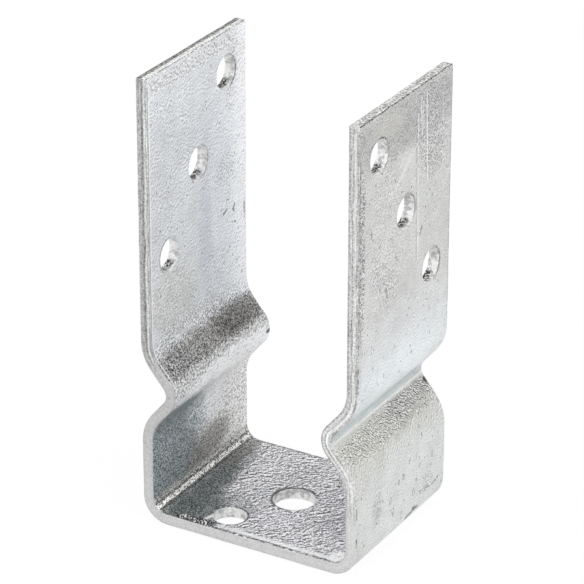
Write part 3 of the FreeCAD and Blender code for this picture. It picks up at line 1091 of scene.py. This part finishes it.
INNER_TONES_AND_PAINTED_LIGHT = (
    Patch(-5, -189, 34, 3.0, grey(0.70, 0.005), 0.6, 0.10, 0.25),
    Patch(-21, -160, 10, 26, grey(0.69, -0.01), 0.5, 0.08, 0.08, ragged=0.9),
    Patch(19, -140, 13, 30, (0.84, 0.87, 0.91), 0.6, 0.07, ragged=0.8),
    Patch(24, -178, 7, 13, grey(0.66), 0.5, 0.14, 0.25),
    Patch(27.5, -146, 6.2, 50, (0.97, 0.98, 1.0), 0.85, 0.10, soft=0.6),
    Patch(-16, -112, 15, 12, grey(0.64, 0.02), 0.7, 0.21),
    Patch(4, -128, 4, 20, grey(0.68, -0.05), 0.6, 0.06),
    Patch(17, -146, 6, 5, grey(0.70, -0.02), 0.4, 0.20, 0.2, ragged=1.2),
    Patch(-5, -98.5, 30, 6, grey(0.64, -0.01), 0.6, 0.45, ragged=0.9),
    # Painted shade over real rough grain on the crimp's upper flank, which faces up, fading towards the
    # nose
    band(-90.4, 5.8, grey(0.24, 0.06), 0.88, 0.88, soft=0.5, ragged=0.9),
    Patch(17, -91.4, 13, 5.2, grey(0.13, 0.05), 0.85, 1.05, soft=0.6, ragged=0.9),
    Patch(-18, -90.0, 14, 5.0, grey(0.29, 0.01), 0.7, 1.05, ragged=0.9),
    band(-83.6, 3.0, grey(0.60, 0.01), 0.85, 0.45),
    # Painted highlight along the underside of the crimp's nose
    Patch(9, -80.9, 28, 3.8, grey(1.0, -0.01), 0.97, 0.09, ragged=0.3),
    # Painted light on the lower wall under the crimp
    band(-58, 21.5, grey(0.84, 0.015), 0.9, 0.46, square=6.0, soft=0.1),
    # Painted shade on the lower wall, under the nose and towards the front, over real grain
    Patch(-24, -68.5, 24, 9.3, (0.230, 0.272, 0.280), 0.93, 0.46, turn=-8, soft=0.25, ragged=0.9),
    Patch(-21, -50, 21, 13, (0.285, 0.328, 0.336), 0.93, 0.60, square=3.0, soft=0.3, ragged=0.9),
    # Painted light towards the back of the lower wall
    Patch(8, -62, 7, 8, (0.86, 0.90, 0.92), 0.55, 0.22, ragged=0.9),
    Patch(5, -46, 13, 6, grey(0.30, 0.06), 0.80, 0.60, turn=15, ragged=0.9),
    # Lighter painted shade in the middle of the lower wall
    Patch(-3, -61, 6, 8, (0.50, 0.54, 0.56), 0.5, 0.5, ragged=1.1),
    band(-38.6, 2.2, grey(0.42, 0.05), 0.7, 0.65, ragged=0.8),
    Patch(-2, 0, 40, 34.4, (0.640, 0.630, 0.652), 0.97, 0.42, 0.95, square=8.0, soft=0.04, ragged=0.1),
    Patch(10, 18, 22, 14, (0.51, 0.50, 0.52), 0.7, 0.50, 1.10, ragged=0.8),
    Patch(-14, 2, 6, 8, (0.74, 0.73, 0.76), 0.5, 0.35, 0.75, ragged=1.0),
    Patch(-6, 22, 6, 9, (0.43, 0.42, 0.44), 0.6, 0.50, 0.9, turn=40, ragged=1.0),
    Patch(14, -4, 10, 5.5, (0.48, 0.47, 0.48), 0.6, 0.50, 1.0, ragged=1.0),
    Patch(9, -21, 14, 5.5, (0.80, 0.79, 0.81), 0.6, 0.45, 0.95, ragged=1.0),
    # Painted shade on the base along the foot of the left leg, over real rough grain
    Patch(-9, -29.3, 30, 6.1, (0.155, 0.178, 0.174), 0.90, 0.85, 0.15, square=3.0, turn=3, ragged=1.2),
    Patch(20, -31, 12, 2.4, grey(0.23, 0.05), 0.8, 0.60, 0.6, ragged=1.2),
    Patch(-17, -15, 9, 8, grey(0.42, -0.02), 0.6, 0.55, 0.4, ragged=1.2),
    # More painted shade on the base near the left leg
    Patch(-20, -22.5, 10, 7.5, (0.170, 0.190, 0.186), 0.85, 0.75, 0.15, soft=0.4, ragged=0.9),
    Patch(-28, -20, 2.2, 7, grey(0.14), 0.7, 0.7, ragged=1.3),
    # Painted highlight along the crown of the left fold, between two lines of painted shade, over real
    # rough grain
    band(-37.6, 0.7, grey(0.09, 0.02), 0.75, 1.5, ragged=1.0, soft=0.5),
    band(-36.0, 1.1, grey(0.98, 0.05), 0.9, 1.7, ragged=0.8),
    band(-34.4, 0.8, grey(0.08, 0.02), 0.85, 1.5, ragged=1.0, soft=0.5),
    # Painted highlight in the inner corner of the right fold, near the front
    Patch(-26, 31.5, 4.0, 4.0, grey(1.0), 0.95, 0.05, ragged=0.3),
    Patch(28.7, -81.9, 1.5, 0.6, grey(0.03), 0.95, 0.3, ragged=1.0),
)
INNER_SCRATCHES_AND_PAINTED_HIGHLIGHTS = (
    # Painted highlight along the base's front edge
    LineMark((-27.6, -12), (-27.8, 33), 1.2, grey(1.0), 0.3, 0.95),
    LineMark((-29.1, -15), (-29.1, 34), 0.62, grey(0.06), 1.0, 0.85),
    # Painted highlight along the left leg's front edge
    LineMark((-28.6, -84), (-28.6, -190), 0.4, grey(1.0), 0.4, 0.8),
    LineMark((-29.25, -96), (-29.25, -190), 0.4, grey(0.25), 0.5, 0.7),
    LineMark((2, -168), (8, -180), 0.25, grey(0.50, -0.03), 0.5, 0.4),
    LineMark((22.3, -131.2), (21.7, -130.2), 0.55, grey(0.04), 0.3, 0.9),
    LineMark((21.5, -129.7), (21.8, -129.0), 0.65, grey(0.04), 0.3, 0.9),
    LineMark((17.4, -131.0), (16.6, -130.7), 0.5, grey(0.05), 0.3, 0.85),
    LineMark((16.0, -130.3), (15.3, -130.0), 0.6, grey(0.05), 0.3, 0.9),
    LineMark((17.2, -134.5), (18.4, -134.1), 0.35, grey(0.10), 0.5, 0.7),
    LineMark((28.2, -130.0), (28.5, -125.4), 0.5, grey(0.10), 1.0, 0.8),
    LineMark((22.2, -124.9), (22.9, -124.5), 0.5, grey(0.10), 0.4, 0.7),
    LineMark((29.0, -30), (29.0, 26), 0.8, grey(0.16), 0.9, 0.8),
    LineMark((-26.6, -18.5), (-19.0, -16.4), 0.9, grey(1.0), 0.2, 0.95),
    LineMark((-27.8, -14.8), (-22.0, -13.4), 0.6, grey(0.06), 0.4, 0.9),
)
# Rims round the holes; where a sixth number is given, it is how strong the rim's line of painted shade is
INNER_RIMS = (
    Rim(0, 0, 7.4, 1.2, (0.88, -0.48), 1.15), Rim(0, 0, 7.4, 0.9, (-0.5, -0.86), 1.2),
    Rim(-20, -12.5, 5.8, 0.8, (0.6, 0.8), 1.1), Rim(20, 12.5, 5.7, 0.9),
    Rim(17.5, -178.85, 5.7, 1.1, (1.0, 0.0), 1.0), Rim(0, -153.85, 5.7, 1.1, (1.0, 0.0), 0.7),
    Rim(-17.5, -128.85, 5.7, 1.1, (-1.0, -0.3), 0.9),
    Rim(-17.5, 178.85, 5.6), Rim(0, 153.85, 5.6), Rim(17.5, 128.85, 5.6),
)
OUTER_TONES_AND_PAINTED_LIGHT = (
    band(184, 9, grey(0.37, 0.01), 0.75, 0.24, square=3.0),
    Patch(-12, 187, 10, 4, (0.52, 0.51, 0.47), 0.6, 0.08),
    Patch(16, 176, 10, 16, grey(0.43), 0.55, 0.42),
    Patch(-12, 148, 10, 30, grey(0.56, 0.01), 0.4, 0.22),
    Patch(-27.6, 145, 1.5, 36, grey(0.36), 0.6, 0.75, ragged=1.8),
    Patch(-14, 136, 9, 5, grey(0.52), 0.4, 0.36, turn=35, ragged=1.4),
    band(112, 12, grey(0.66, -0.01), 0.7, 0.05, square=2.0),
    band(100, 10, (0.77, 0.82, 0.84), 0.75, 0.03, square=2.5, soft=0.9),
    band(74, 8.5, (0.57, 0.57, 0.53), 0.8, 0.08, square=3.0),
    Patch(0, 74.0, 32, 4.3, (0.56, 0.56, 0.53), 0.6, 0.24, 1.0, square=3.0, ragged=0.8),
    Patch(16, 75.6, 15, 3.1, grey(0.46), 0.7, 0.30, 1.6, square=3.0, ragged=0.8),
    # Painted shade in the crease above the crimp's nose, with a painted highlight line just below it
    band(84.0, 2.4, (0.52, 0.575, 0.59), 0.85, 0.03, square=6.0, soft=0.25, ragged=0.12),
    band(80.4, 0.6, grey(0.74, -0.01), 0.8, 0.05, square=6.0, ragged=0.2),
    Patch(6, 50, 34, 16, (0.665, 0.68, 0.675), 0.85, 0.05, ragged=0.3),
    Patch(-16, 52, 3.2, 7, grey(0.50), 0.6, 0.25),
    Patch(18, 46, 3.0, 3.0, grey(0.52), 0.5, 0.30),
    Patch(22, 43.4, 8, 0.8, grey(0.42), 0.45, 0.5, ragged=1.8),
    Patch(28.9, 76.9, 1.1, 1.1, grey(0.04), 0.95, 0.3, ragged=1.2),
)
OUTER_SCRATCHES_AND_PAINTED_SHADOW = (
    LineMark((7.1, 184), (8.4, 134), 0.55, grey(0.84), 0.95, 0.7),
    LineMark((6.2, 184), (7.5, 134), 0.45, grey(0.26), 0.98, 0.7),
    LineMark((12.5, 189), (14.0, 159), 0.30, grey(0.94), 0.2, 0.85),
    LineMark((8.9, 189), (9.9, 176), 0.32, grey(0.90), 0.5, 0.8),
    LineMark((10.3, 187), (11.0, 178), 0.30, grey(0.86), 0.5, 0.75),
    LineMark((-7.3, 163.8), (7.2, 174.3), 0.36, grey(0.86), 0.4, 0.7),
    LineMark((-5.1, 165.8), (4.4, 174.0), 0.30, grey(0.82), 0.6, 0.6),
    LineMark((-27.8, 190), (-28.0, 105), 0.35, grey(0.42), 0.7, 0.5),
    LineMark((-29.5, 54.5), (-29.5, 57.5), 0.7, grey(0.08), 0.8, 0.9),
    LineMark((-29.4, 44.5), (-29.4, 46.5), 0.8, grey(0.08), 0.8, 0.9),
    LineMark((-29.3, 104), (-29.3, 182), 0.7, grey(0.12), 1.0, 0.8),
    LineMark((29.35, 190), (29.35, 106), 0.6, grey(0.25), 1.0, 0.7),
    LineMark((-19.9, 183.9), (-16.9, 184.6), 0.75, grey(0.03), 0.7, 0.95),
    LineMark((-16.9, 184.6), (-14.2, 183.5), 0.75, grey(0.03), 0.9, 0.95),
    LineMark((11.0, 144.8), (9.6, 142.6), 0.6, grey(0.10), 0.8, 0.8),
    LineMark((-22.2, 156.0), (-21.6, 153.6), 0.7, grey(0.16), 0.8, 0.7),
    LineMark((-12.2, 132.6), (-11.4, 129.4), 0.6, grey(0.10), 0.8, 0.75),
    LineMark((-6.2, 141.2), (-5.2, 139.6), 0.6, grey(0.12), 0.8, 0.7),
    # A painted shadow line along the lower side of the crimp's nose band
    LineMark((0, 68.5), (25, 73.5), 1.2, (0.42, 0.42, 0.39), 0.2, 0.4),
    LineMark((5.0, 38.6), (9.6, 39.6), 1.0, grey(0.06), 0.45, 0.9),
    LineMark((8.6, 40.2), (11.8, 39.4), 0.8, grey(0.10), 0.6, 0.85),
)
# Rims round the holes; where a sixth number is given, it is how strong the rim's line of painted shade is
OUTER_RIMS = (
    Rim(0, 0, 7.2, 0.9), Rim(-20, -12.5, 5.7, 0.9), Rim(20, 12.5, 5.7, 0.9),
    Rim(17.5, -178.85, 5.6), Rim(0, -153.85, 5.6), Rim(-17.5, -128.85, 5.6),
    Rim(-17.5, 178.85, 5.7, 1.1, (1.0, 0.1), 0.6), Rim(0, 153.85, 5.7, 1.1, (0.8, 0.6), 0.7),
    Rim(17.5, 128.85, 5.7, 1.1, (1.0, 0.0), 0.9),
)
HIDDEN_INNER_TONES_AND_PAINTED_SHADE = (
    Patch(6, 186, 34, 5, grey(0.66, 0.01), 0.6, 0.28),
    Patch(-14, 128, 13, 20, grey(0.68, -0.03), 0.6, 0.10),
    # Painted shade over real rough grain on the right crimp's upper flank, as on the left one
    Patch(8, 90.5, 34, 6.0, grey(0.44, 0.02), 0.7, 0.55, square=4.0, soft=0.4, ragged=0.9),
    Patch(-12, 91.5, 12, 4.0, grey(0.30, 0.01), 0.6, 0.6, ragged=0.9),
    Patch(-4, 58, 30, 12, grey(0.56, -0.02), 0.6, 0.35, ragged=0.9),
    # Painted shade along the right fold
    band(36.4, 1.1, grey(0.30, 0.03), 0.7, 0.9, ragged=1.0, soft=0.5),
)
HIDDEN_OUTER_TONES_AND_PAINTED_SHADE = (
    Patch(4, -184, 34, 8, grey(0.42, 0.01), 0.65, 0.20, square=3.0),
    Patch(-10, -150, 12, 26, grey(0.54, 0.01), 0.45, 0.14),
    Patch(16, -128, 9, 20, grey(0.66, -0.02), 0.5, 0.08),
    # Painted shade in the crease of the left crimp, as on the right one
    band(-88.8, 4.6, (0.50, 0.54, 0.55), 0.75, 0.03, square=6.0, soft=0.25, ragged=0.12),
    Patch(-6, -75.5, 28, 4.2, grey(0.46), 0.65, 0.25, 0.8, square=3.0, ragged=0.8),
    Patch(6, -54, 28, 13, (0.66, 0.675, 0.67), 0.7, 0.06, ragged=0.5),
    Patch(-14, -47, 6, 4, grey(0.46), 0.5, 0.35, ragged=1.2),
    Patch(-6, 2, 24, 22, grey(0.52, 0.01), 0.5, 0.22, ragged=0.9),
    Patch(18, -12, 8, 10, grey(0.64, -0.01), 0.5, 0.08),
)
STAINS = (Patch(4, 50, 24, 9, grey(0.24), 0.7),)


SKINS = {
    Skin.INNER: SkinFinish(
        (0.765, 0.780, 0.800), (0.705, 0.728, 0.750), INNER_TONES_AND_PAINTED_LIGHT + HIDDEN_INNER_TONES_AND_PAINTED_SHADE, INNER_SCRATCHES_AND_PAINTED_HIGHLIGHTS,
        INNER_RIMS, peel=0.34, peel_size=0.70, wave_painted_light=1.15, pits=0.32),
    Skin.OUTER: SkinFinish(
        (0.615, 0.62, 0.60), (0.56, 0.565, 0.55), OUTER_TONES_AND_PAINTED_LIGHT + HIDDEN_OUTER_TONES_AND_PAINTED_SHADE, OUTER_SCRATCHES_AND_PAINTED_SHADOW,
        OUTER_RIMS, peel=0.29, slope=-30, wave_size=0.50, wave_slope=50, wave_drawn=2.3,
        wave_depth=0.4, wave_painted_light_cap=0.3, bend=1.0, pits=0.50, stains=STAINS),
}
CUTS = (
    CutFinish(
        Cut.SHEARED_SIDE,
        ((0.0, 0.36), (0.08, 0.50), (0.42, 0.46), (0.52, 0.27), (0.62, 0.30), (0.70, 0.66), (0.86, 0.62),
         (0.91, 0.34), (0.96, 0.85), (1.0, 0.70)),
        ((0.0, 0.28), (0.08, 0.52), (0.20, 0.48), (0.26, 0.72), (0.46, 0.68), (0.52, 0.36), (0.60, 0.64),
         (0.78, 0.56), (0.84, 0.40), (0.92, 0.55), (1.0, 0.42))),
    CutFinish(
        Cut.CROPPED_TOP,
        ((0.0, 0.30), (0.10, 0.20), (0.46, 0.24), (0.54, 0.75), (0.85, 0.88), (0.92, 0.35), (1.0, 0.75)),
        ((0.0, 0.65), (0.06, 0.16), (0.13, 0.22), (0.20, 0.62), (0.5, 0.54), (0.8, 0.66), (1.0, 0.5)),
        tint=(1.0, 1.0, 0.97), streak=0.15, grit=1.1, grain=0.80),
)


@dataclass(frozen=True)
class SoftBox:
    """A square area light: its name, its place and size in metres, and its power in watts."""

    name: str
    spot: tuple[float, float, float]
    size: float
    power: float


@dataclass(frozen=True)
class Studio:
    """The camera, the pale floor and the soft light.

    The camera's turn, pitch and roll are in degrees, its place in millimetres from the focus. The floor
    and the lights are in metres.
    """

    turn: float = 30.016
    pitch: float = 25.656
    roll: float = 0.104
    aside: tuple[float, float, float] = (0.909, 9.768, 1067.97)
    focus_height: float = 90.0
    pixels_per_unit: float = 3374.88
    frame_pixels: float = 584.0
    sensor: float = 36.0
    clip: tuple[float, float] = (0.05, 50.0)
    floor_size: float = 12.0
    floor_level: float = -0.0003
    floor_glow: float = 1.025
    floor_share: float = 0.90
    surround: float = 0.60
    lit_point: tuple[float, float, float] = (0, 0, 0.07)
    boxes: tuple[SoftBox, ...] = (
        SoftBox("side_box", (0.85, -0.10, 0.42), 0.75, 3.6),
        SoftBox("front_box", (-0.10, -0.95, 0.55), 0.70, 2.8),
        SoftBox("top_box", (-0.10, 0.15, 1.05), 0.60, 1.6),
    )

    def place_camera(self) -> None:
        """Puts the camera where the photograph was taken from."""
        a, p, r = map(math.radians, (self.turn, self.pitch, self.roll))
        right = Vector((math.cos(a), math.sin(a), 0))
        ahead = Vector((-math.sin(a) * math.cos(p), math.cos(a) * math.cos(p), -math.sin(p)))
        up = right.cross(ahead)
        right, up = math.cos(r) * right + math.sin(r) * up, math.cos(r) * up - math.sin(r) * right
        x, y, distance = self.aside
        spot = Vector((0, 0, self.focus_height)) - x * right - y * up - distance * ahead
        data = bpy.data.cameras.new("photo_camera")
        data.sensor_width = self.sensor
        data.lens = self.pixels_per_unit / self.frame_pixels * self.sensor
        data.clip_start, data.clip_end = self.clip
        camera = bpy.data.objects.new("photo_camera", data)
        turned = Matrix((right, up, -ahead)).transposed().to_4x4()
        camera.matrix_world = Matrix.Translation(spot * MM) @ turned
        bpy.context.scene.collection.objects.link(camera)
        bpy.context.scene.camera = camera

    def whiten(self, b: Board, lit: bpy.types.Node, white: bpy.types.Node, output: str,
               share: float = 1.0) -> None:
        """Shows plain white to the camera in place of a shader that goes on lighting the piece.

        Args:
            b: the board of the shader's tree.
            lit: the shader.
            white: the white shader.
            output: the name of the tree's output node.
            share: how much of the white is seen.
        """
        path = b.add("LightPath").outputs
        mirrored = b.math("MAXIMUM", path["Is Glossy Ray"], path["Is Transmission Ray"])
        seen = b.math("MAXIMUM", path["Is Camera Ray"], mirrored)
        if share < 1.0:
            seen = b.times(seen, share)
        blend = b.add("MixShader", {0: seen, 1: lit.outputs[0], 2: white.outputs[0]})
        b.feed(b.tree.nodes[output].inputs["Surface"], blend.outputs[0])

    def lay_floor(self) -> None:
        """Lays a wide pale floor that keeps the bracket's soft shadow."""
        select_only(None)
        bpy.ops.mesh.primitive_plane_add(size=self.floor_size, location=(0, 0, self.floor_level))
        floor = bpy.context.object
        floor.name = "studio_floor"
        material = bpy.data.materials.new("pale_floor")
        material.use_nodes = True
        b = Board(material.node_tree)
        shader = b.tree.nodes["Principled BSDF"]
        for name, value in (("Base Color", grey(0.93)), ("Roughness", 0.8), ("Specular IOR Level", 0.1)):
            b.feed(shader.inputs[name], value)
        white = b.add("Emission", {"Color": grey(1.0), "Strength": self.floor_glow})
        self.whiten(b, shader, white, "Material Output", self.floor_share)
        floor.data.materials.append(material)

    def light(self) -> None:
        """Hangs the soft boxes and sets the white surround."""
        for box in self.boxes:
            data = bpy.data.lights.new(box.name, "AREA")
            data.energy, data.size, data.shape = box.power, box.size, "SQUARE"
            lamp = bpy.data.objects.new(box.name, data)
            lamp.location = box.spot
            aim = Vector(self.lit_point) - Vector(box.spot)
            lamp.rotation_euler = aim.to_track_quat("-Z", "Y").to_euler()
            bpy.context.scene.collection.objects.link(lamp)
        world = bpy.context.scene.world = bpy.data.worlds.new("white_surround")
        world.use_nodes = True
        b = Board(world.node_tree)
        ambient = b.tree.nodes["Background"]
        for name, value in (("Color", (0.97, 0.98, 1.0)), ("Strength", self.surround)):
            b.feed(ambient.inputs[name], value)
        white = b.add("Background", {"Color": grey(1.0), "Strength": 1.0})
        self.whiten(b, ambient, white, "World Output")


def main() -> None:
    """Builds the finishes, the strip and the studio in order, and reports each piece."""
    logging.basicConfig(level=logging.INFO, format="%(name)s: %(message)s")
    bpy.context.scene.view_settings.view_transform = "Standard"
    effects, strip = ZincEffects(), FormedStrip()
    finishes = {finish.cut.value: finish.material(effects) for finish in CUTS}
    finishes["punched_wall"] = PunchedFinish(strip.holes()).material(effects)
    finishes["dross"] = DrossFinish().material(effects)
    for zone in Zone:
        finishes[zone.name] = SKINS[zone.value[0]].material(effects, zone)
    strip.build(finishes)
    mesh = strip.piece.data
    LOG.info("strip: %d points, %d faces", len(mesh.vertices), len(mesh.polygons))
    studio = Studio()
    studio.place_camera()
    studio.lay_floor()
    studio.light()
    LOG.info("camera, floor and light are set")


if __name__ == "__main__":
    main()
